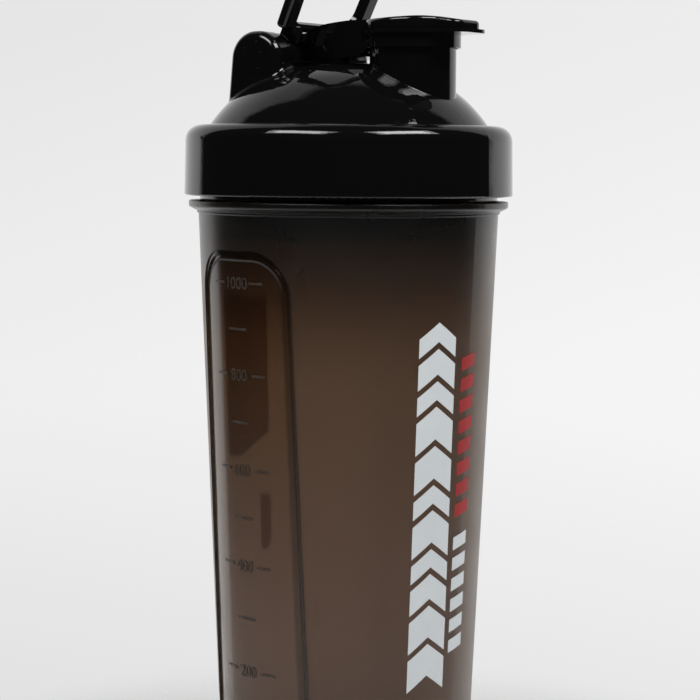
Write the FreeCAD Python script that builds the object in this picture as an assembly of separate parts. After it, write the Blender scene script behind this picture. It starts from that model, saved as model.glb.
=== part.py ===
"""Shaker bottle: tapered cup, screw lid with a spout, flip cap and carry loop.

Millimetres. Origin at the centre of the base, +Z up, spout towards +X.
The flip cap and the carry loop turn about one axis parallel to Y.
"""
import FreeCAD
import Part

import math
import os

V = FreeCAD.Vector

# ---------------------------------------------------------------- driving dimensions
# Cup
CUP_BASE_R = 41.68
CUP_TAPER = 0.0431
CUP_WALL = 1.95
CUP_FLOOR = 2.2
FOOT_RECESS = 1.5
FOOT_RING_R = 36.0
WALL_TOP_Z = 192.2
BEAD_R = 50.5
BEAD_TOP_Z = 192.9
FLANGE_R = 53.2
FLANGE_LOW_Z = 194.3
FLANGE_TOP_Z = 196.3
NECK_R = 49.6
NECK_BORE_R = 47.9
RIM_Z = 216.2

# Grip panels in the cup wall
PANEL_ANGLES = (-103.0, 77.0)
PANEL_TOP_Z = 180.7
PANEL_LOW_Z = 14.0
PANEL_TOP_HALF = 21.4
PANEL_LOW_HALF = 23.2
PANEL_CORNER_R = 14.0
PANEL_BORDER = 1.3
PANEL_STEP = 0.4
PANEL_DEPTH = 0.9

# Screw thread, right hand, single start
PITCH = 4.5
THREAD_TURNS = 1.1
CUP_THREAD_Z = 204.5
CUP_THREAD_R = 51.0
LID_THREAD_Z = CUP_THREAD_Z - PITCH / 2
LID_THREAD_R = 50.0

# Mixing grid
GRID_FLANGE_LOW_Z = RIM_Z + 0.05
GRID_FLANGE_TOP_Z = RIM_Z + 1.05
GRID_FLANGE_R = 50.2
GRID_TOP_R = 47.4
GRID_LOW_R = 46.6
GRID_WALL = 1.3
GRID_FLOOR_Z = 184.0
GRID_FLOOR = 1.8
GRID_HOLE_R = 2.6
GRID_HOLE_STEP = 8.0
GRID_HOLE_RINGS = 5

# Lid
LID_LOW_Z = 198.0
LID_LOW_R = 54.7
LID_TOP_R = 54.3
SHOULDER_Z = 221.2
SHOULDER_FILLET = 5.2
SHOULDER_IN_R = 46.0
SKIRT_BORE_R = 51.6
SEAT_Z = 219.0
DOME_R = 46.4
DOME_CENTRE_R = 7.9
DOME_TOP_Z = 241.5
DOME_WALL = 2.0
EAR_OUTER_FILLET = 3.0
EAR_INNER_FILLET = 0.8
EAR_ROOT_FILLET = 2.4
SPOUT_ROOT_FILLET = 0.4

# Gasket in the lid
GASKET_IN_R = 46.2
GASKET_OUT_R = 50.4
GASKET_GAP = 0.05

# Spout
SPOUT_X = 25.2
SPOUT_R = 14.1
SPOUT_BORE_R = 12.0
SPOUT_TOP_Z = 250.3

# Hinge of the flip cap and the carry loop
HINGE_X = -19.5
HINGE_Z = 242.3
PIN_R = 3.0
PIN_HOLE_R = 3.08
BARREL_R = 7.0
BARREL_HALF = 14.2
LUG_IN = 14.6
LUG_OUT = 18.6
EAR_IN = 19.0
EAR_OUT = 27.0
SOCKET_END = 23.2
PIN_END = 22.8
TROUGH_R = 7.6
LUG_TROUGH_R = 9.8
TROUGH_WALL = 1.8

# Flip cap
CAP_SKIRT_R = 15.6
CAP_SKIRT_BORE_R = 14.75
CAP_SKIRT_LOW_Z = 246.0
CAP_POCKET_Z = 251.25
LIP_PLATE_LOW_Z = 250.5
LIP_PLATE_TOP_Z = 251.7
LIP_DISC_R = 17.0
LIP_TAB_X = 49.0
LIP_TAB_HALF = 9.3
LIP_TAB_CORNER_R = 5.3
PAD_INSET = 1.3
PAD_EDGE_R = 1.3
ARM_HALF = 9.0
PLUG_R = 11.0
PLUG_BORE_R = 9.2
PLUG_LOW_Z = 247.3
PLUG_POCKET_Z = 253.0

# Seal under the flip cap
SEAL_IN_R = 11.1
SEAL_OUT_R = 14.5
SEAL_LOW_Z = 250.35
SEAL_TOP_Z = 251.2

# Carry loop, in its own plane: s from the hinge axis up the legs, t across its thickness
LOOP_LEAN = 25.0
LOOP_BACK_T = 0.5
LOOP_THICK = 4.1
LOOP_BAR_THICK = 2.0
LOOP_LEG_W = 5.4
LOOP_LOW_S = 12.6
LOOP_BAR_LOW_S = 11.6
LOOP_BAR_TOP_S = 14.4
LOOP_GUSSET_S = 7.6
LOOP_GUSSET_Y = 9.5
LOOP_TOP_S = 50.0
LOOP_HALF_LOW = 23.15
LOOP_FLARE = 2.5
LOOP_TOP_CORNER_R = 18.0
LOOP_BAR_CORNER_R = 6.0
BOSS_R = 9.2


# ---------------------------------------------------------------- drawing helpers
def rounded_wire(corners, place):
    """Closed wire round corners (u, v, radius); place turns (u, v) into a point."""
    flat = [V(u, v, 0) for u, v, _ in corners]
    edges = []
    ends = []
    for index, (_, _, radius) in enumerate(corners):
        here = flat[index]
        back = (flat[index - 1] - here).normalize()
        ahead = (flat[(index + 1) % len(flat)] - here).normalize()
        if radius == 0:
            ends.append((here, None, here))
            continue
        half = back.getAngle(ahead) / 2
        setback = radius / math.tan(half)
        middle = here + (back + ahead).normalize() * (radius / math.sin(half) - radius)
        ends.append((here + back * setback, middle, here + ahead * setback))
    for index, (start, middle, end) in enumerate(ends):
        last = ends[index - 1][2]
        if last.distanceToPoint(start) > 1e-6:
            edges.append(Part.makeLine(place(last), place(start)))
        if middle is not None:
            edges.append(Part.Arc(place(start), place(middle), place(end)).toShape())
    return Part.Wire(Part.__sortEdges__(edges))


def in_side_view(point):
    """(u, v) drawn on the XZ plane."""
    return V(point.x, 0, point.y)


def in_plan_view(point):
    """(u, v) drawn on the XY plane."""
    return V(point.x, point.y, 0)


def revolved(corners):
    """Solid of revolution about Z from (radius, z, corner radius) corners."""
    face = Part.Face(rounded_wire(corners, in_side_view))
    return face.revolve(V(0, 0, 0), V(0, 0, 1), 360)


def ring(in_r, out_r, low_z, top_z, x=0.0):
    outer = Part.makeCylinder(out_r, top_z - low_z, V(x, 0, low_z))
    inner = Part.makeCylinder(in_r, top_z - low_z, V(x, 0, low_z))
    return outer.cut(inner)


def cross_cylinder(radius, y_low, y_high):
    """Cylinder on the hinge axis, from y_low to y_high."""
    return Part.makeCylinder(radius, y_high - y_low, V(HINGE_X, y_low, HINGE_Z), V(0, 1, 0))


def mirrored(shape):
    """The same shape on the other side of the XZ plane."""
    return shape.mirror(V(0, 0, 0), V(0, 1, 0))


def thread_ridge(root_r, crest_r, root_width, crest_width, start_z):
    """Helical ridge of trapezoid section, starting at the angle of +X."""
    helix = Part.makeHelix(PITCH, PITCH * THREAD_TURNS, root_r)
    section = Part.makePolygon([
        V(root_r, 0, -root_width / 2),
        V(crest_r, 0, -crest_width / 2),
        V(crest_r, 0, crest_width / 2),
        V(root_r, 0, root_width / 2),
        V(root_r, 0, -root_width / 2),
    ])
    ridge = Part.Wire(helix.Edges).makePipeShell([section], True, True)
    ridge.translate(V(0, 0, start_z))
    return ridge


def cup_radius(z):
    """Outer radius of the cup wall at height z."""
    return CUP_BASE_R + CUP_TAPER * z


# ---------------------------------------------------------------- cup
def panel_prism(angle, inset):
    """Prism along the panel's direction, with the panel's outline less an inset."""
    corner = PANEL_CORNER_R - inset
    corners = [
        (-PANEL_LOW_HALF + inset, PANEL_LOW_Z + inset, corner),
        (PANEL_LOW_HALF - inset, PANEL_LOW_Z + inset, corner),
        (PANEL_TOP_HALF - inset, PANEL_TOP_Z - inset, corner),
        (-PANEL_TOP_HALF + inset, PANEL_TOP_Z - inset, corner),
    ]
    wire = rounded_wire(corners, lambda point: V(0, point.x, point.y))
    prism = Part.Face(wire).extrude(V(2 * CUP_BASE_R, 0, 0))
    prism.rotate(V(0, 0, 0), V(0, 0, 1), angle)
    return prism


def wall_skin(depth):
    """Hollow cone that reaches into the cup wall by depth."""
    low, high = PANEL_LOW_Z - 5, PANEL_TOP_Z + 5
    return revolved([
        (cup_radius(low) - depth, low, 0),
        (cup_radius(low) + 5, low, 0),
        (cup_radius(high) + 5, high, 0),
        (cup_radius(high) - depth, high, 0),
    ])


def make_cup():
    inside_z = FOOT_RECESS + CUP_FLOOR
    bore_z = (NECK_BORE_R + CUP_WALL - CUP_BASE_R) / CUP_TAPER
    cup = revolved([
        (0, FOOT_RECESS, 0),
        (FOOT_RING_R - FOOT_RECESS, FOOT_RECESS, 1.0),
        (FOOT_RING_R, 0, 0.6),
        (CUP_BASE_R, 0, 4.0),
        (cup_radius(WALL_TOP_Z), WALL_TOP_Z, 0.3),
        (BEAD_R, WALL_TOP_Z, 0.2),
        (BEAD_R, BEAD_TOP_Z, 0.2),
        (FLANGE_R, FLANGE_LOW_Z, 0.9),
        (FLANGE_R, FLANGE_TOP_Z, 0.5),
        (NECK_R, FLANGE_TOP_Z, 0.8),
        (NECK_R, RIM_Z, 0.6),
        (NECK_BORE_R, RIM_Z, 0.6),
        (NECK_BORE_R, bore_z, 0),
        (cup_radius(inside_z) - CUP_WALL, inside_z, 7.0),
        (0, inside_z, 0),
    ])
    for angle in PANEL_ANGLES:
        cup = cup.cut(wall_skin(PANEL_STEP).common(panel_prism(angle, 0)))
        cup = cup.cut(wall_skin(PANEL_DEPTH).common(panel_prism(angle, PANEL_BORDER)))
    return cup.fuse(thread_ridge(NECK_R - 0.3, CUP_THREAD_R, 2.4, 0.9, CUP_THREAD_Z))


# ---------------------------------------------------------------- mixing grid
def make_mixing_grid():
    grid = revolved([
        (0, GRID_FLOOR_Z, 0),
        (GRID_LOW_R, GRID_FLOOR_Z, 2.5),
        (GRID_TOP_R, GRID_FLANGE_LOW_Z, 0),
        (GRID_FLANGE_R, GRID_FLANGE_LOW_Z, 0.3),
        (GRID_FLANGE_R, GRID_FLANGE_TOP_Z, 0.3),
        (GRID_TOP_R - GRID_WALL, GRID_FLANGE_TOP_Z, 0.5),
        (GRID_LOW_R - GRID_WALL, GRID_FLOOR_Z + GRID_FLOOR, 1.2),
        (0, GRID_FLOOR_Z + GRID_FLOOR, 0),
    ])
    holes = [Part.makeCylinder(GRID_HOLE_R, 4 * GRID_FLOOR, V(0, 0, GRID_FLOOR_Z - GRID_FLOOR))]
    for turn in range(1, GRID_HOLE_RINGS + 1):
        radius = turn * GRID_HOLE_STEP
        count = 6 * turn
        for index in range(count):
            hole = holes[0].copy()
            hole.translate(V(radius, 0, 0))
            hole.rotate(V(0, 0, 0), V(0, 0, 1), 360.0 * index / count)
            holes.append(hole)
    return grid.cut(holes)


# ---------------------------------------------------------------- lid
def make_gasket():
    gasket = ring(GASKET_IN_R, GASKET_OUT_R, GRID_FLANGE_TOP_Z + GASKET_GAP, SEAT_Z - GASKET_GAP)
    return gasket.makeFillet(0.4, gasket.Edges)


def dome_outline(sphere_r, low_z):
    """Points of the dome's section, from the edge at low_z to its flat top."""
    centre_z = DOME_TOP_Z - DOME_R
    edge_r = DOME_CENTRE_R + math.sqrt(sphere_r ** 2 - (low_z - centre_z) ** 2)
    edge = V(edge_r, 0, low_z)
    start = math.atan2(low_z - centre_z, edge_r - DOME_CENTRE_R)
    half = (start + math.pi / 2) / 2
    middle = V(DOME_CENTRE_R + sphere_r * math.cos(half), 0, centre_z + sphere_r * math.sin(half))
    top = V(DOME_CENTRE_R, 0, centre_z + sphere_r)
    return edge, middle, top


def dome_solid(sphere_r, low_z):
    """Solid under the dome's surface, down to low_z."""
    edge, middle, top = dome_outline(sphere_r, low_z)
    wire = Part.Wire([
        Part.makeLine(V(0, 0, low_z), edge),
        Part.Arc(edge, middle, top).toShape(),
        Part.makeLine(top, V(0, 0, top.z)),
        Part.makeLine(V(0, 0, top.z), V(0, 0, low_z)),
    ])
    return Part.Face(wire).revolve(V(0, 0, 0), V(0, 0, 1), 360)


def make_ear():
    """The ear on the +Y side, down into the dome."""
    corners = [
        (HINGE_X - 12.2, 222.0, 0),
        (HINGE_X + 10.2, 222.0, 0),
        (HINGE_X + 9.4, HINGE_Z + 9.4, 9.2),
        (HINGE_X - 9.4, HINGE_Z + 9.4, 9.2),
    ]
    wire = rounded_wire(corners, lambda point: V(point.x, EAR_IN, point.y))
    ear = Part.Face(wire).extrude(V(0, EAR_OUT - EAR_IN, 0))
    upper = [edge for edge in ear.Edges if edge.BoundBox.ZMax > 230]
    outer = [edge for edge in upper if edge.BoundBox.YMin > EAR_OUT - 0.01]
    ear = ear.makeFillet(EAR_OUTER_FILLET, outer)
    upper = [edge for edge in ear.Edges if edge.BoundBox.ZMax > 230]
    inner = [edge for edge in upper if edge.BoundBox.YMax < EAR_IN + 0.01]
    return ear.makeFillet(EAR_INNER_FILLET, inner)


def on_dome(edge):
    """True when the whole edge lies on the dome, clear of the shoulder."""
    if edge.BoundBox.ZMin < SHOULDER_Z + 0.5:
        return False
    for share in (0.1, 0.5, 0.9):
        point = edge.valueAt(edge.FirstParameter + share * (edge.LastParameter - edge.FirstParameter))
        outward = max(math.hypot(point.x, point.y) - DOME_CENTRE_R, 0)
        if abs(math.hypot(outward, point.z - DOME_TOP_Z + DOME_R) - DOME_R) > 0.02:
            return False
    return True


def blend_roots(shell):
    """Fillets where the spout and the ears grow out of the dome."""
    spout_root = [edge for edge in shell.Edges if on_dome(edge) and edge.BoundBox.XMin > 5]
    shell = shell.makeFillet(SPOUT_ROOT_FILLET, spout_root)
    ear_root = [edge for edge in shell.Edges if on_dome(edge) and edge.BoundBox.XMax < 0]
    ear_root = [edge for edge in ear_root if edge.BoundBox.YMin > 15 or edge.BoundBox.YMax < -15]
    return shell.makeFillet(EAR_ROOT_FILLET, ear_root)


def make_lid():
    shell = revolved([
        (0, LID_LOW_Z, 0),
        (LID_LOW_R, LID_LOW_Z, 0.6),
        (LID_TOP_R, SHOULDER_Z, SHOULDER_FILLET),
        (SHOULDER_IN_R, SHOULDER_Z, 0),
        (0, SHOULDER_Z, 0),
    ])
    shell = shell.fuse(dome_solid(DOME_R, SHOULDER_Z - 1))
    spout = Part.makeCylinder(SPOUT_R, SPOUT_TOP_Z - 222, V(SPOUT_X, 0, 222))
    ear = make_ear()
    shell = blend_roots(shell.fuse([spout, ear, mirrored(ear)]).removeSplitter())

    cavity = revolved([
        (0, LID_LOW_Z - 1, 0),
        (SKIRT_BORE_R, LID_LOW_Z - 1, 0),
        (SKIRT_BORE_R, SEAT_Z, 1.0),
        (0, SEAT_Z, 0),
    ])
    cavity = cavity.fuse(dome_solid(DOME_R - DOME_WALL, SEAT_Z - 1))
    trough_half = EAR_IN + TROUGH_WALL
    cavity = cavity.cut(cross_cylinder(LUG_TROUGH_R + TROUGH_WALL, -trough_half, trough_half))
    lid = shell.cut(cavity)
    lid = lid.cut([
        cross_cylinder(TROUGH_R, -EAR_IN, EAR_IN),
        cross_cylinder(LUG_TROUGH_R, BARREL_HALF, EAR_IN),
        cross_cylinder(LUG_TROUGH_R, -EAR_IN, -BARREL_HALF),
    ])
    lid = lid.cut(Part.makeCylinder(SPOUT_BORE_R, 60, V(SPOUT_X, 0, 210)))
    lid = lid.cut(cross_cylinder(PIN_HOLE_R, -SOCKET_END, SOCKET_END))
    ridge = thread_ridge(SKIRT_BORE_R + 0.3, LID_THREAD_R, 2.2, 0.8, LID_THREAD_Z)
    return lid.fuse(ridge)


# ---------------------------------------------------------------- flip cap
def disc_and_tab(inset, low_z, top_z):
    """Round disc over the spout with the thumb tab, drawn with an inset."""
    disc = Part.makeCylinder(LIP_DISC_R - inset, top_z - low_z, V(SPOUT_X, 0, low_z))
    half = LIP_TAB_HALF - inset
    corner = LIP_TAB_CORNER_R - inset
    corners = [
        (SPOUT_X, -half, 0),
        (LIP_TAB_X - 1.5 * inset, -half, corner),
        (LIP_TAB_X - 1.5 * inset, half, corner),
        (SPOUT_X, half, 0),
    ]
    tab = Part.Face(rounded_wire(corners, in_plan_view)).extrude(V(0, 0, top_z - low_z))
    tab.translate(V(0, 0, low_z))
    return disc.fuse(tab).removeSplitter()


def side_slab(top_points, low_points, half):
    """Plate between a smooth top line and a straight-sided lower line."""
    top = Part.BSplineCurve()
    top.interpolate(top_points)
    edges = [top.toShape(), Part.makeLine(top_points[-1], low_points[0])]
    for start, end in zip(low_points, low_points[1:]):
        edges.append(Part.makeLine(start, end))
    edges.append(Part.makeLine(low_points[-1], top_points[0]))
    slab = Part.Face(Part.Wire(edges)).extrude(V(0, 2 * half, 0))
    slab.translate(V(0, -half, 0))
    return slab


def make_pad():
    """The arm and the thumb pad as one plate with a rounded top edge."""
    arm = Part.makeBox(SPOUT_X - HINGE_X, 2 * ARM_HALF, 30, V(HINGE_X, -ARM_HALF, 235))
    plan = disc_and_tab(PAD_INSET, 235, 265).fuse(arm).removeSplitter()
    top_points = [
        V(HINGE_X, 0, HINGE_Z + BARREL_R),
        V(-17.3, 0, 251.2),
        V(-15.3, 0, 252.0),
        V(-13.7, 0, 251.75),
        V(-12.2, 0, 251.35),
        V(-10.0, 0, 252.3),
        V(-8.5, 0, 253.0),
        V(0.0, 0, 254.7),
        V(6.0, 0, 255.2),
        V(18.0, 0, 255.2),
        V(31.0, 0, 255.7),
        V(36.0, 0, 255.85),
        V(41.0, 0, 255.4),
        V(LIP_TAB_X, 0, 254.1),
    ]
    low_points = [
        V(LIP_TAB_X, 0, 250.6),
        V(12.0, 0, 250.6),
        V(-4.4, 0, 248.1),
        V(-16.0, 0, 244.7),
        V(HINGE_X, 0, 243.7),
    ]
    pad = plan.common(side_slab(top_points, low_points, 30))
    upper = [edge for edge in pad.Edges if edge.BoundBox.ZMin > 253 and edge.BoundBox.XMin > 5]
    return pad.makeFillet(PAD_EDGE_R, upper)


def make_rib():
    """Rib under the arm, from the barrel to the skirt round the spout."""
    top_points = [V(HINGE_X, 0, 248.5), V(-4.0, 0, 250.5), V(SPOUT_X, 0, 251.0)]
    low_points = [
        V(SPOUT_X, 0, 246.5),
        V(14.0, 0, 246.5),
        V(10.0, 0, 243.6),
        V(0.0, 0, 242.9),
        V(-12.0, 0, 242.9),
        V(HINGE_X, 0, 243.0),
    ]
    return side_slab(top_points, low_points, ARM_HALF)


def make_flip_cap():
    cap = make_pad().fuse([
        make_rib(),
        disc_and_tab(0, LIP_PLATE_LOW_Z, LIP_PLATE_TOP_Z),
        Part.makeCylinder(CAP_SKIRT_R, LIP_PLATE_TOP_Z - CAP_SKIRT_LOW_Z, V(SPOUT_X, 0, CAP_SKIRT_LOW_Z)),
        cross_cylinder(BARREL_R, -BARREL_HALF, BARREL_HALF),
        cross_cylinder(PIN_R, -PIN_END, PIN_END),
    ])
    pocket_low = HINGE_Z - BARREL_R
    cap = cap.cut(Part.makeCylinder(CAP_SKIRT_BORE_R, CAP_POCKET_Z - pocket_low, V(SPOUT_X, 0, pocket_low)))
    cap = cap.cut(Part.makeCylinder(PLUG_BORE_R, PLUG_POCKET_Z - pocket_low, V(SPOUT_X, 0, pocket_low)))
    return cap.fuse(ring(PLUG_BORE_R, PLUG_R, PLUG_LOW_Z, CAP_POCKET_Z + 0.3, SPOUT_X))


def make_spout_seal():
    return ring(SEAL_IN_R, SEAL_OUT_R, SEAL_LOW_Z, SEAL_TOP_Z, SPOUT_X)


# ---------------------------------------------------------------- carry loop
def loop_half_width(s):
    """Half of the loop's outer width at distance s from the hinge axis."""
    return LOOP_HALF_LOW + (s - LOOP_LOW_S) * math.tan(math.radians(LOOP_FLARE))


def loop_plate(low_s, top_s, inset, low_r, top_r, back_t, thick):
    """Plate in the loop's plane, upright at the hinge, between two distances."""
    low_half = loop_half_width(low_s) - inset
    top_half = loop_half_width(top_s) - inset
    corners = [
        (-low_half, low_s, low_r),
        (low_half, low_s, low_r),
        (top_half, top_s, top_r),
        (-top_half, top_s, top_r),
    ]
    wire = rounded_wire(corners, lambda point: V(HINGE_X + back_t, point.x, HINGE_Z + point.y))
    return Part.Face(wire).extrude(V(thick, 0, 0))


def loop_block(low_y, high_y, low_s, high_s, thick):
    """Block on the back plane of the loop, upright at the hinge."""
    return Part.makeBox(
        thick, high_y - low_y, high_s - low_s,
        V(HINGE_X + LOOP_BACK_T, low_y, HINGE_Z + low_s))


def make_lug():
    """Round lug on the +Y side with its web and the gusset beside it."""
    boss = cross_cylinder(BOSS_R, LUG_IN, LUG_OUT)
    web = loop_block(LUG_IN, LUG_OUT, 0, LOOP_BAR_TOP_S - 0.4, LOOP_THICK)
    gusset = loop_block(LOOP_GUSSET_Y, LUG_IN + 1, LOOP_GUSSET_S, LOOP_BAR_TOP_S - 0.4, LOOP_BAR_THICK)
    return boss.fuse([web, gusset])


def make_carry_loop():
    top_in_s = LOOP_TOP_S - LOOP_LEG_W
    inner_r = LOOP_TOP_CORNER_R - LOOP_LEG_W
    front_t = LOOP_BACK_T + LOOP_THICK
    bar_front_t = LOOP_BACK_T + LOOP_BAR_THICK
    frame = loop_plate(LOOP_LOW_S, LOOP_TOP_S, 0, 1.2, LOOP_TOP_CORNER_R, LOOP_BACK_T, LOOP_THICK)
    frame = frame.makeFillet(1.3, [edge for edge in frame.Edges if edge.BoundBox.XLength < 1e-6])
    window = loop_plate(LOOP_BAR_TOP_S, top_in_s, LOOP_LEG_W, LOOP_BAR_CORNER_R, inner_r, 0, front_t + 2)
    recess = loop_plate(LOOP_LOW_S - 3, top_in_s, LOOP_LEG_W, 0, inner_r, bar_front_t, front_t)
    bar_foot = loop_block(
        -LOOP_GUSSET_Y - 1, LOOP_GUSSET_Y + 1, LOOP_BAR_LOW_S, LOOP_BAR_TOP_S - 0.4, LOOP_BAR_THICK)
    lug = make_lug()
    loop = frame.cut([window, recess]).fuse([bar_foot, lug, mirrored(lug)])
    loop = loop.cut(cross_cylinder(PIN_HOLE_R, -EAR_IN, EAR_IN)).removeSplitter()
    loop.rotate(V(HINGE_X, 0, HINGE_Z), V(0, 1, 0), LOOP_LEAN)
    return loop


# ---------------------------------------------------------------- export
PARTS = {
    "cup": make_cup,
    "mixing_grid": make_mixing_grid,
    "lid_gasket": make_gasket,
    "lid": make_lid,
    "flip_cap": make_flip_cap,
    "spout_seal": make_spout_seal,
    "carry_loop": make_carry_loop,
}

os.makedirs("parts", exist_ok=True)
for node, make in PARTS.items():
    shape = make()
    shape.exportStep("parts/" + node + ".step")
    print(node, shape.ShapeType, len(shape.Solids), "valid", shape.isValid(), "mm3", round(shape.Volume))
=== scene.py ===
"""Studio scene for the shaker bottle. Metres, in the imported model's frame."""

import math

import bpy
from mathutils import Matrix, Vector


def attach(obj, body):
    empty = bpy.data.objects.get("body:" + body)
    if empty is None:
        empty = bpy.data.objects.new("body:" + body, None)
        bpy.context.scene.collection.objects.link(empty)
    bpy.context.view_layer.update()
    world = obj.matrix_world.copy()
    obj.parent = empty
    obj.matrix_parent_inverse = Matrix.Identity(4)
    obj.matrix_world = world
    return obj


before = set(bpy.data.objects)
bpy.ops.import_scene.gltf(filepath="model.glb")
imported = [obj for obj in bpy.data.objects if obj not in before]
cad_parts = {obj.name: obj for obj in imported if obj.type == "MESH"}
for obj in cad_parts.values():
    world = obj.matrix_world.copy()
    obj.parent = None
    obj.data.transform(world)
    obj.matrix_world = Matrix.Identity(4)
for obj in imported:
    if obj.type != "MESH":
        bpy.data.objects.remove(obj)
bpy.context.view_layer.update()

# ---------------------------------------------------------------- camera
CAMERA_BEARING = math.radians(35.0)
CAMERA_PAN = math.radians(-0.068)
CAMERA_TILT = math.radians(5.31)
CAMERA_ROLL = math.radians(0.4)
CAMERA_REACH = 0.703
CAMERA_HEIGHT = 0.2115
CAMERA_LENS = 108.0
CAMERA_SENSOR = 36.0
CAMERA_NEAR = 0.01

TO_CAMERA = Vector((math.sin(CAMERA_BEARING), -math.cos(CAMERA_BEARING), 0.0))
TO_RIGHT = Vector((math.cos(CAMERA_BEARING), math.sin(CAMERA_BEARING), 0.0))
UP = Vector((0.0, 0.0, 1.0))

# ---------------------------------------------------------------- cup
CUP_BASE_R = 0.04168
CUP_TAPER = 0.0431

# Tint of the cup's plastic against height, as a share of TINT_HEIGHT: smoke brown low down, and
# the dark upper stops are painted shade from the lid and mixing grid above
TINT_HEIGHT = 0.220
SMOKE_AND_SHADE_STOPS = (
    (0.00, (0.335, 0.262, 0.215)),
    (0.27, (0.322, 0.238, 0.188)),
    (0.50, (0.295, 0.210, 0.150)),
    (0.63, (0.285, 0.200, 0.134)),
    (0.70, (0.235, 0.156, 0.098)),
    (0.76, (0.150, 0.094, 0.056)),
    (0.81, (0.090, 0.058, 0.036)),
    (0.86, (0.040, 0.028, 0.022)),
    (1.00, (0.022, 0.020, 0.019)),
)
FLOW_TINT = (0.90, 0.88, 0.85, 1)
PANEL_TINT = (0.94, 0.90, 0.85, 1)
# Painted reflection colour for the grip panel's dark streaks
REFLECTION_TINT = (0.30, 0.20, 0.11, 1)
# Painted shade on the step down into the grip panel
EDGE_SHADE_TINT = (0.50, 0.50, 0.50, 1)
# Painted shade along the grip panel's outline
RIM_SHADE_TINT = (0.34, 0.35, 0.36, 1)
POLISHED_ROUGHNESS = 0.15
FROST_SPREAD = (-0.02, 0.04)
FROST_LOW_Z, FROST_HIGH_Z = 0.150, 0.186
FROST_LOW_ROUGHNESS, FROST_HIGH_ROUGHNESS = 0.38, 0.27
CUP_TRANSMISSION = 0.94
CUP_IOR = 1.47

# Depths below the cup's cone: (start, end) of a fade
POLISH_START = (0.00015, 0.0003)
FLOOR_START = (0.00055, 0.00075)
FLOOR_END = (0.0014, 0.0012)
# The edge band is painted shade on the grip panel's stepped border
EDGE_SHADE_START = (0.00012, 0.0003)
EDGE_SHADE_END = (0.00085, 0.00065)

# Grip panels: bearings in degrees, then the outline
PANEL_ANGLES = (-103.0, 77.0)
PANEL_FLOOR = -0.0009
PANEL_LOW = 0.0140
PANEL_TOP = 0.1807
PANEL_CORNER = 0.0140
PANEL_HALF_LOW = 0.0232
PANEL_HALF_TOP = 0.0214

# Distances from a panel's outline, negative inside it: (start, end) of a fade
# The rim band is painted shade along the grip panel's outline
RIM_SHADE_START = (-0.0041, -0.0033)
RIM_SHADE_END = (0.0006, 0.0)
RIDGE_INSET = 0.0026
RIDGE_HALF = 0.0009
RIDGE_HEIGHT = 9.0

# Painted reflection streaks in the grip panel: left bearing, right bearing low down and higher up,
# all in degrees, then the heights where the streak starts, its right side turns, it fades and it
# ends
REFLECTION_STREAKS = (
    (-112.0, -104.0, -87.5, 0.1140, 0.1235, 0.1640, 0.1705),
    (-93.0, -90.0, -87.5, 0.0850, 0.0880, 0.1020, 0.1045),
)

# ---------------------------------------------------------------- print and scale
# Bearings in degrees, then half widths
INK_ROOT = -0.00003
INK_LIFT = 0.00005
WIDE_ANGLE = -18.0
WIDE_HALF = 0.0075
WIDE_START = 0.0384
WIDE_BARS = (
    0.0105, 0.0105, 0.0082, 0.0060, 0.0105, 0.0060, 0.0105, 0.0105, 0.0060, 0.0082, 0.0062,
)
WIDE_GAP = 0.0022
CHEVRON_RISE = 0.0052
NARROW_ANGLE = -0.4
NARROW_HALF = 0.00375
WHITE_TICKS = (0.0495, 0.0905)
RED_TICKS = (0.0945, 0.1493)
TICK_PITCH = 0.0068
TICK_BAR = 0.0042
TICK_RISE = 0.0016
PRINT_COLUMNS = 8
PRINT_ROW = 0.004

MARK_ROOT = -0.00003
MARK_LIFT = 0.00025
NUMERAL_SIZE = 0.0055
NUMERAL_MIDDLE = 0.35
NUMERAL_HALF_THICK = 0.00012
NUMERAL_LIFT = 0.00004
SCALE_NUMBERS = (
    ("1000", 0.1705), ("800", 0.1408), ("600", 0.1099), ("400", 0.0783), ("200", 0.0431),
)
LOWEST_MARK = 0.0245
DASH_HALF = 0.0004
LEFT_DASH = (-0.0125, -0.0062)
RIGHT_DASH = (0.0062, 0.0118)
MIDDLE_DASH = (-0.0043, 0.0043)

# ---------------------------------------------------------------- studio
LID_CENTRE = Vector((0.0, 0.0, 0.22))

# Softboxes: name, direction as right, towards camera and up, then radiance
SOFTBOXES = (
    ("left", (-0.440, 0.455, 0.760), 6.6),
    ("right", (0.470, 0.400, 0.760), 8.2),
)
CORE_REACH, CORE_WIDTH, CORE_HEIGHT = 1.0, 0.52, 0.24
HALO_REACH, HALO_WIDTH, HALO_HEIGHT = 1.01, 0.72, 0.36
HALO_SHARE = 0.55

# Reflected wall and table
WALL_LEAN = -0.07
WALL_EDGE = (math.radians(62.5), math.radians(54.5))
WALL_TOP_SHARE = 0.42
TABLE_SHARE = 0.75
ROOM_DARK = 0.018
ROOM_BRIGHT = 0.95

# Background that the camera sees
BACKDROP_LOW, BACKDROP_MIDDLE = 0.775, 0.885
BACKDROP_UPPER_DROP = -0.07
BACKDROP_SIDE = 0.18
BACKDROP_SIDE_STEP = 0.028

FLOOR_R = 0.4
FLOOR_SIDES = 96
FLOOR_FADE = (0.05, 0.17)


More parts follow.
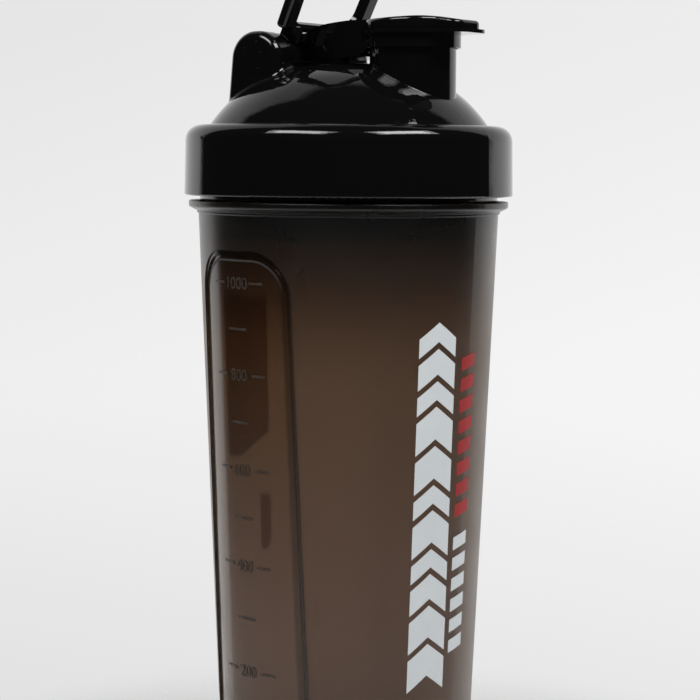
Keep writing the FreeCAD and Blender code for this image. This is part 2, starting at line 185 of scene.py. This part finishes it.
# ---------------------------------------------------------------- node helpers
class Nodes:
    """Short way to build a node tree."""

    def __init__(self, tree):
        self.tree = tree

    def add(self, kind, **settings):
        node = self.tree.nodes.new("ShaderNode" + kind)
        for name, value in settings.items():
            setattr(node, name, value)
        return node

    def feed(self, socket, value):
        if isinstance(value, bpy.types.NodeSocket):
            self.tree.links.new(value, socket)
        else:
            socket.default_value = value

    def maths(self, operation, *values):
        node = self.add("Math", operation=operation)
        for socket, value in zip(node.inputs, values):
            self.feed(socket, value)
        return node.outputs[0]

    def ramp(self, value, low, high, out_low=0.0, out_high=1.0, smooth=False):
        node = self.add("MapRange", interpolation_type="SMOOTHSTEP" if smooth else "LINEAR")
        for socket, item in zip(node.inputs, (value, low, high, out_low, out_high)):
            self.feed(socket, item)
        return node.outputs[0]

    def noise(self, scale, detail, roughness, vector):
        node = self.add("TexNoise")
        node.inputs["Scale"].default_value = scale
        node.inputs["Detail"].default_value = detail
        node.inputs["Roughness"].default_value = roughness
        self.feed(node.inputs["Vector"], vector)
        return node.outputs["Fac"]

    def mottle(self, scale, detail, vector, low=0.0, high=1.0):
        """Noise stretched to run from low to high."""
        return self.ramp(self.noise(scale, detail, 0.5, vector), 0.3, 0.7, low, high)

    def cells(self, scale, vector):
        node = self.add("TexVoronoi")
        node.inputs["Scale"].default_value = scale
        self.feed(node.inputs["Vector"], vector)
        return node.outputs["Distance"]

    def split(self, vector):
        node = self.add("SeparateXYZ")
        self.feed(node.inputs[0], vector)
        return node.outputs

    def stretch(self, vector, x, y, z):
        node = self.add("Mapping")
        self.feed(node.inputs["Vector"], vector)
        node.inputs["Scale"].default_value = (x, y, z)
        return node.outputs[0]

    def colours(self, factor, stops):
        node = self.add("ValToRGB")
        self.feed(node.inputs[0], factor)
        elements = node.color_ramp.elements
        while len(elements) < len(stops):
            elements.new(0.5)
        for element, (place, colour) in zip(elements, stops):
            element.position = place
            element.color = (*colour, 1.0)
        return node.outputs[0]

    def mix(self, factor, first, second, blend_type="MIX"):
        node = self.add("Mix", data_type="RGBA", blend_type=blend_type)
        for index, value in ((0, factor), (6, first), (7, second)):
            self.feed(node.inputs[index], value)
        return node.outputs[2]

    def tint(self, factor, first, second):
        return self.mix(factor, first, second, "MULTIPLY")

    def bump(self, height, strength, distance):
        node = self.add("Bump")
        node.inputs["Strength"].default_value = strength
        node.inputs["Distance"].default_value = distance
        self.feed(node.inputs["Height"], height)
        return node.outputs[0]


def new_material(name):
    """(material, node builder, Principled shader, object position) for a fresh material."""
    material = bpy.data.materials.new(name)
    material.use_nodes = True
    tree = material.node_tree
    shader = tree.nodes["Principled BSDF"]
    nodes = Nodes(tree)
    place = nodes.add("TexCoord").outputs["Object"]
    return material, nodes, shader, place


# ---------------------------------------------------------------- materials
def gloss_black(name, low=0.035, high=0.085):
    """Injection-moulded gloss black: faint orange peel, smudges, dust and hairlines."""
    material, nodes, shader, place = new_material(name)
    smudge = nodes.ramp(nodes.noise(38.0, 5.0, 0.62, place), 0.46, 0.72, smooth=True)
    wipes = nodes.noise(24.0, 3.0, 0.5, nodes.stretch(place, 1.0, 1.0, 6.0))
    wipes = nodes.ramp(wipes, 0.55, 0.75)
    specks = nodes.ramp(nodes.cells(260.0, place), 0.085, 0.05)
    patches = nodes.ramp(nodes.noise(14.0, 2.0, 0.5, place), 0.50, 0.62)
    dust = nodes.maths("MULTIPLY", specks, patches)
    worn = nodes.maths("MAXIMUM", smudge, nodes.maths("MULTIPLY", wipes, 0.6))
    rough = nodes.ramp(worn, 0.0, 1.0, low, high)
    rough = nodes.maths("MAXIMUM", rough, nodes.maths("MULTIPLY", dust, 0.42))
    nodes.feed(shader.inputs["Roughness"], rough)
    dark = (0.0035, 0.0035, 0.00364, 1)
    pale = (0.0175, 0.01715, 0.0161, 1)
    colour = nodes.mix(nodes.maths("MULTIPLY", dust, 0.8), dark, pale)
    nodes.feed(shader.inputs["Base Color"], colour)
    nodes.feed(shader.inputs["IOR"], 1.5)
    peel = nodes.noise(650.0, 2.0, 0.5, place)
    wave = nodes.noise(60.0, 2.0, 0.4, place)
    lines = nodes.noise(420.0, 2.0, 0.7, nodes.stretch(place, 0.12, 0.12, 3.0))
    height = nodes.maths("MULTIPLY_ADD", lines, 0.25, peel)
    height = nodes.maths("MULTIPLY_ADD", wave, 3.0, height)
    nodes.feed(shader.inputs["Normal"], nodes.bump(height, 0.05, 0.0003))
    return material


def cup_plastic(name):
    """Smoke-brown plastic: frosted outside, polished in the grip panels and inside, with painted
    shade at the top and along the panel borders and painted reflection streaks in the panels.
    """
    material, nodes, shader, place = new_material(name)
    x, y, z = nodes.split(place)
    squares = nodes.maths("ADD", nodes.maths("MULTIPLY", x, x), nodes.maths("MULTIPLY", y, y))
    radius = nodes.maths("SQRT", squares)
    cone = nodes.maths("MULTIPLY_ADD", z, CUP_TAPER, CUP_BASE_R)
    depth = nodes.maths("SUBTRACT", cone, radius)
    polished = nodes.ramp(depth, *POLISH_START)
    outside = nodes.ramp(depth, *FLOOR_END)
    in_panel = nodes.maths("MULTIPLY", nodes.ramp(depth, *FLOOR_START), outside)
    # Painted shade band over the step down into the grip panel
    edge_shade = nodes.maths("MULTIPLY", nodes.ramp(depth, *EDGE_SHADE_START), nodes.ramp(depth, *EDGE_SHADE_END))
    edge_distance = panel_distance(nodes, x, y, z)

    cloud = nodes.maths("SUBTRACT", nodes.noise(22.0, 3.0, 0.5, place), 0.5)
    height_up = nodes.maths("MULTIPLY_ADD", cloud, 0.012, z)
    # Smoke tint by height; its dark top is painted shade from the lid and mixing grid
    colour = nodes.colours(nodes.ramp(height_up, 0.0, TINT_HEIGHT), SMOKE_AND_SHADE_STOPS)
    flow = nodes.noise(9.0, 3.0, 0.55, nodes.stretch(place, 1.0, 1.0, 0.35))
    colour = nodes.tint(nodes.ramp(flow, 0.35, 0.7, 0.0, 0.5), colour, FLOW_TINT)
    colour = nodes.tint(in_panel, colour, PANEL_TINT)
    # Painted shade: a darker band along the grip panel's outline
    rim = nodes.ramp(edge_distance, *RIM_SHADE_START)
    rim = nodes.maths("MULTIPLY", rim, nodes.ramp(edge_distance, *RIM_SHADE_END))
    colour = nodes.tint(nodes.maths("MULTIPLY", rim, outside), colour, RIM_SHADE_TINT)
    colour = nodes.tint(edge_shade, colour, EDGE_SHADE_TINT)
    # Painted reflection: darker brown streaks in the grip panel
    reflection = nodes.maths("MULTIPLY", in_panel, reflection_mask(nodes, x, y, z))
    colour = nodes.tint(reflection, colour, REFLECTION_TINT)
    nodes.feed(shader.inputs["Base Color"], colour)

    frost = nodes.ramp(z, FROST_LOW_Z, FROST_HIGH_Z, FROST_LOW_ROUGHNESS, FROST_HIGH_ROUGHNESS)
    frost = nodes.maths("ADD", nodes.mottle(60.0, 3.0, place, *FROST_SPREAD), frost)
    rough = nodes.ramp(polished, 0.0, 1.0, frost, POLISHED_ROUGHNESS)
    nodes.feed(shader.inputs["Roughness"], rough)
    nodes.feed(shader.inputs["Transmission Weight"], CUP_TRANSMISSION)
    nodes.feed(shader.inputs["IOR"], CUP_IOR)

    grain = nodes.noise(2600.0, 3.0, 0.6, place)
    hairs = nodes.noise(500.0, 2.0, 0.7, nodes.stretch(place, 1.0, 1.0, 0.06))
    frosted = nodes.maths("SUBTRACT", 1.0, polished)
    height = nodes.maths("MULTIPLY_ADD", hairs, 0.5, nodes.maths("MULTIPLY", grain, frosted))
    ridge = nodes.maths("ABSOLUTE", nodes.maths("ADD", edge_distance, RIDGE_INSET))
    ridge = nodes.ramp(ridge, RIDGE_HALF, 0.0, smooth=True)
    ridge = nodes.maths("MULTIPLY", ridge, outside)
    height = nodes.maths("MULTIPLY_ADD", ridge, RIDGE_HEIGHT, height)
    nodes.feed(shader.inputs["Normal"], nodes.bump(height, 0.22, 0.0001))
    return material


def panel_distance(nodes, x, y, z):
    """Distance from the outline of the nearer grip panel, negative inside it."""
    bearing = math.radians(PANEL_ANGLES[0])
    across = nodes.maths("MULTIPLY", x, -math.sin(bearing))
    across = nodes.maths("ABSOLUTE", nodes.maths("MULTIPLY_ADD", y, math.cos(bearing), across))
    half = nodes.ramp(z, PANEL_LOW, PANEL_TOP, PANEL_HALF_LOW, PANEL_HALF_TOP)
    beside = nodes.maths("SUBTRACT", across, nodes.maths("SUBTRACT", half, PANEL_CORNER))
    rise = nodes.maths("ABSOLUTE", nodes.maths("SUBTRACT", z, (PANEL_LOW + PANEL_TOP) / 2))
    above = nodes.maths("SUBTRACT", rise, (PANEL_TOP - PANEL_LOW) / 2 - PANEL_CORNER)
    wide = nodes.maths("POWER", nodes.maths("MAXIMUM", beside, 0.0), 2.0)
    tall = nodes.maths("POWER", nodes.maths("MAXIMUM", above, 0.0), 2.0)
    corner = nodes.maths("SQRT", nodes.maths("ADD", wide, tall))
    inner = nodes.maths("MINIMUM", nodes.maths("MAXIMUM", beside, above), 0.0)
    return nodes.maths("SUBTRACT", nodes.maths("ADD", corner, inner), PANEL_CORNER)


def reflection_mask(nodes, x, y, z):
    """Two streaks of painted reflection down the grip panel, in a deeper brown."""
    angle = nodes.maths("ARCTAN2", y, x)

    def streak(left, right_low, right_high, low, turn, high, top):
        right = nodes.ramp(z, low, turn, math.radians(right_low), math.radians(right_high))
        past_left = nodes.maths("SUBTRACT", angle, math.radians(left))
        before_right = nodes.maths("SUBTRACT", right, angle)
        inside = nodes.ramp(past_left, -0.008, 0.012, smooth=True)
        inside = nodes.maths("MULTIPLY", inside, nodes.ramp(before_right, -0.010, 0.012))
        inside = nodes.maths("MULTIPLY", inside, nodes.ramp(z, top, high, smooth=True))
        started = nodes.ramp(z, low - 0.001, low + 0.001, smooth=True)
        return nodes.maths("MULTIPLY", inside, started)

    wide, small = (streak(*row) for row in REFLECTION_STREAKS)
    return nodes.maths("MAXIMUM", wide, small)


def plain_material(name, dark, pale, tone_scale, rough_scale, rough, grain, bump):
    """Opaque plastic or rubber with mottled colour and roughness and a fine grain."""
    material, nodes, shader, place = new_material(name)
    colour = nodes.mix(nodes.mottle(tone_scale, 3.0, place), dark, pale)
    nodes.feed(shader.inputs["Base Color"], colour)
    nodes.feed(shader.inputs["Roughness"], nodes.mottle(rough_scale, 3.0, place, *rough))
    nodes.feed(shader.inputs["Normal"], nodes.bump(nodes.noise(*grain, place), *bump))
    return material


def satin_black(name):
    """Satin moulded black for the mixing grid."""
    return plain_material(
        name, (0.014, 0.014, 0.014, 1), (0.024, 0.024, 0.024, 1), 35.0, 300.0, (0.30, 0.46),
        grain=(1500.0, 3.0, 0.6), bump=(0.15, 0.0001))


def soft_rubber(name):
    """Matt silicone for the gasket and the spout seal."""
    return plain_material(
        name, (0.022, 0.022, 0.022, 1), (0.036, 0.036, 0.037, 1), 50.0, 500.0, (0.55, 0.75),
        grain=(1800.0, 3.0, 0.6), bump=(0.2, 0.0001))


def raised_plastic(name):
    """The scale marks: the cup's plastic, seen thicker and so darker."""
    return plain_material(
        name, (0.046, 0.034, 0.026, 1), (0.066, 0.050, 0.040, 1), 120.0, 300.0, (0.2, 0.32),
        grain=(2000.0, 2.0, 0.5), bump=(0.1, 0.00005))


def screen_ink(name, colour, worn):
    """Screen-printed ink: slightly uneven cover, fine pinholes, semi-gloss."""
    material, nodes, shader, place = new_material(name)
    cover = nodes.ramp(nodes.noise(90.0, 4.0, 0.6, place), 0.3, 0.75, 0.0, 0.55)
    holes = nodes.ramp(nodes.cells(900.0, place), 0.13, 0.08, 0.0, 0.8)
    wear = nodes.maths("MAXIMUM", cover, holes)
    nodes.feed(shader.inputs["Base Color"], nodes.mix(wear, colour, worn))
    nodes.feed(shader.inputs["Roughness"], nodes.mottle(400.0, 3.0, place, 0.38, 0.5))
    grain = nodes.noise(3000.0, 2.0, 0.5, place)
    nodes.feed(shader.inputs["Normal"], nodes.bump(grain, 0.12, 0.00005))
    return material


def dress(node, material):
    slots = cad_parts[node].data.materials
    slots.clear()
    slots.append(material)


dress("cup", cup_plastic("smoke_plastic"))
dress("mixing_grid", satin_black("grid_plastic"))
dress("lid_gasket", soft_rubber("gasket_rubber"))
dress("lid", gloss_black("lid_gloss"))
dress("flip_cap", gloss_black("cap_gloss", low=0.05, high=0.12))
dress("spout_seal", soft_rubber("seal_rubber"))
dress("carry_loop", gloss_black("loop_gloss", low=0.06, high=0.14))


# ---------------------------------------------------------------- pieces on the cup
def wrap(angle, across, up, lift):
    """Point on the cup's cone: across and up in metres, lift above the surface."""
    nominal = CUP_BASE_R + CUP_TAPER * up
    turn = math.radians(angle) + across / nominal
    reach = nominal + lift
    return (reach * math.cos(turn), reach * math.sin(turn), up)


def bar_cells(angle, corners, low_lift, high_lift):
    """Closed thin block on the cup.

    The four (across, up) corners are low left, low right, high right and high left.
    """
    columns, rows = PRINT_COLUMNS, max(1, round(abs(corners[3][1] - corners[0][1]) / PRINT_ROW))
    points, faces = [], []
    for lift in (low_lift, high_lift):
        for row in range(rows + 1):
            v = row / rows
            for column in range(columns + 1):
                u = column / columns
                low = [a + (b - a) * u for a, b in zip(corners[0], corners[1])]
                high = [a + (b - a) * u for a, b in zip(corners[3], corners[2])]
                across, up = (a + (b - a) * v for a, b in zip(low, high))
                points.append(wrap(angle, across, up, lift))
    layer = (rows + 1) * (columns + 1)

    def at(side, row, column):
        return side * layer + row * (columns + 1) + column

    for row in range(rows):
        for column in range(columns):
            quad = (at(1, row, column), at(1, row, column + 1),
                    at(1, row + 1, column + 1), at(1, row + 1, column))
            faces.append(quad)
            faces.append(tuple(index - layer for index in reversed(quad)))
    for column in range(columns):
        faces.append((at(0, 0, column), at(0, 0, column + 1),
                      at(1, 0, column + 1), at(1, 0, column)))
        faces.append((at(1, rows, column), at(1, rows, column + 1),
                      at(0, rows, column + 1), at(0, rows, column)))
    for row in range(rows):
        faces.append((at(1, row, 0), at(1, row + 1, 0), at(0, row + 1, 0), at(0, row, 0)))
        faces.append((at(0, row, columns), at(0, row + 1, columns),
                      at(1, row + 1, columns), at(1, row, columns)))
    return points, faces


def piece_from(name, blocks, material):
    """One object from several (points, faces) blocks, fixed to the cup."""
    points, faces = [], []
    for block_points, block_faces in blocks:
        base = len(points)
        points.extend(block_points)
        faces.extend(tuple(base + index for index in face) for face in block_faces)
    mesh = bpy.data.meshes.new(name)
    mesh.from_pydata(points, [], faces)
    mesh.materials.append(material)
    mesh.update()
    piece = bpy.data.objects.new(name, mesh)
    bpy.context.scene.collection.objects.link(piece)
    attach(piece, "cup")


def slanted(angle, left, right, low, high, left_rise, right_rise):
    """Bar across the print, with each end raised by its rise."""
    corners = [(left, low + left_rise), (right, low + right_rise),
               (right, high + right_rise), (left, high + left_rise)]
    return bar_cells(angle, corners, INK_ROOT, INK_LIFT)


def make_print():
    """Abstract print: a column of chevrons, and a narrow column of ticks beside it."""
    white = screen_ink("print_white_ink", (0.92, 0.97, 0.99, 1), (0.83, 0.88, 0.90, 1))
    red = screen_ink("print_red_ink", (0.48, 0.020, 0.022, 1), (0.34, 0.014, 0.016, 1))
    chevrons = []
    start = WIDE_START
    for thickness in WIDE_BARS:
        end = start + thickness
        chevrons.append(slanted(WIDE_ANGLE, -WIDE_HALF, 0.0, start, end, 0.0, CHEVRON_RISE))
        chevrons.append(slanted(WIDE_ANGLE, 0.0, WIDE_HALF, start, end, CHEVRON_RISE, 0.0))
        start = end + WIDE_GAP

    def ticks(low, high):
        count = round((high - low) / TICK_PITCH)
        for index in range(count):
            base = low + index * (high - low) / count
            yield slanted(
                NARROW_ANGLE, -NARROW_HALF, NARROW_HALF, base, base + TICK_BAR, 0.0, TICK_RISE)

    piece_from("print_white", chevrons + list(ticks(*WHITE_TICKS)), white)
    piece_from("print_red", ticks(*RED_TICKS), red)


def digits(angle, text, middle_up):
    """Raised numerals, wrapped on the grip panel."""
    curve = bpy.data.curves.new("numeral", "FONT")
    curve.body = text
    curve.size = NUMERAL_SIZE
    curve.align_x = "CENTER"
    curve.extrude = NUMERAL_HALF_THICK
    holder = bpy.data.objects.new("numeral", curve)
    bpy.context.scene.collection.objects.link(holder)
    bpy.context.view_layer.update()
    graph = bpy.context.evaluated_depsgraph_get()
    mesh = bpy.data.meshes.new_from_object(holder.evaluated_get(graph))
    points = []
    for vertex in mesh.vertices:
        up = middle_up + vertex.co.y - NUMERAL_SIZE * NUMERAL_MIDDLE
        lift = PANEL_FLOOR + NUMERAL_LIFT + vertex.co.z + NUMERAL_HALF_THICK
        points.append(wrap(angle, vertex.co.x, up, lift))
    faces = [tuple(polygon.vertices) for polygon in mesh.polygons]
    bpy.data.objects.remove(holder)
    bpy.data.meshes.remove(mesh)
    return points, faces


def dash(angle, left, right, up):
    """Raised dash on the grip panel."""
    low, high = up - DASH_HALF, up + DASH_HALF
    corners = [(left, low), (right, low), (right, high), (left, high)]
    return bar_cells(angle, corners, PANEL_FLOOR + MARK_ROOT, PANEL_FLOOR + MARK_LIFT)


def make_scale():
    """The moulded volume scale in both grip panels."""
    plastic = raised_plastic("scale_plastic")
    for name, angle in zip(("scale_near", "scale_far"), PANEL_ANGLES):
        blocks = []
        for text, up in SCALE_NUMBERS:
            blocks.append(digits(angle, text, up))
            blocks.append(dash(angle, *LEFT_DASH, up))
            blocks.append(dash(angle, *RIGHT_DASH, up))
        for (_, upper), (_, lower) in zip(SCALE_NUMBERS, SCALE_NUMBERS[1:]):
            blocks.append(dash(angle, *MIDDLE_DASH, (upper + lower) / 2))
        blocks.append(dash(angle, *MIDDLE_DASH, LOWEST_MARK))
        piece_from(name, blocks, plastic)


make_print()
make_scale()


# ---------------------------------------------------------------- studio
def make_world():
    """Pale to the camera; to reflections, a white back wall and table in a dark room."""
    world = bpy.data.worlds.new("studio")
    world.use_nodes = True
    nodes = Nodes(world.node_tree)
    background = world.node_tree.nodes["Background"]
    direction = nodes.add("TexCoord").outputs["Generated"]

    def along(axis):
        dot = nodes.add("VectorMath", operation="DOT_PRODUCT")
        nodes.feed(dot.inputs[0], direction)
        dot.inputs[1].default_value = axis
        return dot.outputs["Value"]

    back, side = along(-TO_CAMERA), along(TO_RIGHT)
    up = nodes.split(direction)[2]
    azimuth = nodes.maths("ARCTAN2", nodes.maths("ABSOLUTE", side), back)
    azimuth = nodes.maths("MULTIPLY_ADD", side, WALL_LEAN, azimuth)
    wall = nodes.ramp(azimuth, *WALL_EDGE, smooth=True)
    fall = nodes.ramp(up, 0.05, 0.80, 1.0, WALL_TOP_SHARE)
    ceiling = nodes.ramp(up, 0.93, 0.88)
    wall = nodes.maths("MULTIPLY", wall, nodes.maths("MULTIPLY", fall, ceiling))
    table = nodes.ramp(up, -0.16, -0.34, 0.0, TABLE_SHARE)
    light = nodes.maths("MAXIMUM", wall, table)
    light = nodes.ramp(light, 0.0, 1.0, ROOM_DARK, ROOM_BRIGHT)

    seen = nodes.ramp(up, -0.26, -0.12, BACKDROP_LOW, BACKDROP_MIDDLE)
    seen = nodes.maths("ADD", nodes.ramp(up, -0.10, 0.06, 0.0, BACKDROP_UPPER_DROP), seen)
    across = nodes.ramp(
        side, -BACKDROP_SIDE, BACKDROP_SIDE, -BACKDROP_SIDE_STEP, BACKDROP_SIDE_STEP)
    seen = nodes.maths("ADD", seen, across)

    camera = nodes.add("LightPath").outputs["Is Camera Ray"]
    choice = nodes.add("Mix", data_type="FLOAT")
    for index, value in ((0, camera), (2, light), (3, seen)):
        nodes.feed(choice.inputs[index], value)
    nodes.feed(background.inputs["Strength"], choice.outputs[0])
    background.inputs["Color"].default_value = (1.0, 1.0, 1.0, 1.0)
    bpy.context.scene.world = world


def softbox(name, aim_from, reach, width, height, radiance):
    """Area light that faces the lid, from a direction given as right, towards camera, up."""
    right, front, up = aim_from
    way = (TO_RIGHT * right + TO_CAMERA * front + UP * up).normalized()
    data = bpy.data.lights.new(name, "AREA")
    data.shape = "RECTANGLE"
    data.size = width
    data.size_y = height
    data.energy = radiance * math.pi * width * height
    lamp = bpy.data.objects.new(name, data)
    lamp.location = LID_CENTRE + way * reach
    lamp.rotation_euler = way.to_track_quat("Z", "Y").to_euler()
    lamp.visible_camera = False
    bpy.context.scene.collection.objects.link(lamp)


def make_floor():
    """Pale round table top that fades into the background."""
    material, nodes, shader, place = new_material("table")
    grain = nodes.mottle(300.0, 2.0, place)
    colour = nodes.mix(grain, (0.90, 0.90, 0.90, 1), (0.93, 0.93, 0.93, 1))
    nodes.feed(shader.inputs["Base Color"], colour)
    nodes.feed(shader.inputs["Roughness"], 0.7)
    reach = nodes.add("VectorMath", operation="LENGTH")
    nodes.feed(reach.inputs[0], place)
    fade = nodes.ramp(reach.outputs["Value"], *FLOOR_FADE, 1.0, 0.0, smooth=True)
    nodes.feed(shader.inputs["Alpha"], fade)
    mesh = bpy.data.meshes.new("floor")
    turns = [index * math.tau / FLOOR_SIDES for index in range(FLOOR_SIDES)]
    rim = [(FLOOR_R * math.cos(turn), FLOOR_R * math.sin(turn), 0.0) for turn in turns]
    mesh.from_pydata(rim, [], [tuple(range(FLOOR_SIDES))])
    mesh.materials.append(material)
    floor = bpy.data.objects.new("floor", mesh)
    bpy.context.scene.collection.objects.link(floor)


def make_camera():
    """Camera at the photograph's viewing angle."""
    data = bpy.data.cameras.new("camera")
    data.lens = CAMERA_LENS
    data.sensor_width = CAMERA_SENSOR
    data.clip_start = CAMERA_NEAR
    camera = bpy.data.objects.new("camera", data)
    turn = Matrix.Rotation(CAMERA_BEARING + CAMERA_PAN, 4, "Z")
    tilt = Matrix.Rotation(math.pi / 2 - CAMERA_TILT, 4, "X")
    roll = Matrix.Rotation(CAMERA_ROLL, 4, "Z")
    place = Matrix.Translation(TO_CAMERA * CAMERA_REACH + UP * CAMERA_HEIGHT)
    camera.matrix_world = place @ turn @ tilt @ roll
    bpy.context.scene.collection.objects.link(camera)
    bpy.context.scene.camera = camera


make_world()
make_floor()
for name, way, radiance in SOFTBOXES:
    softbox(name + "_core", way, CORE_REACH, CORE_WIDTH, CORE_HEIGHT, radiance)
    softbox(name + "_halo", way, HALO_REACH, HALO_WIDTH, HALO_HEIGHT, radiance * HALO_SHARE)
make_camera()
bpy.context.scene.view_settings.view_transform = "Standard"
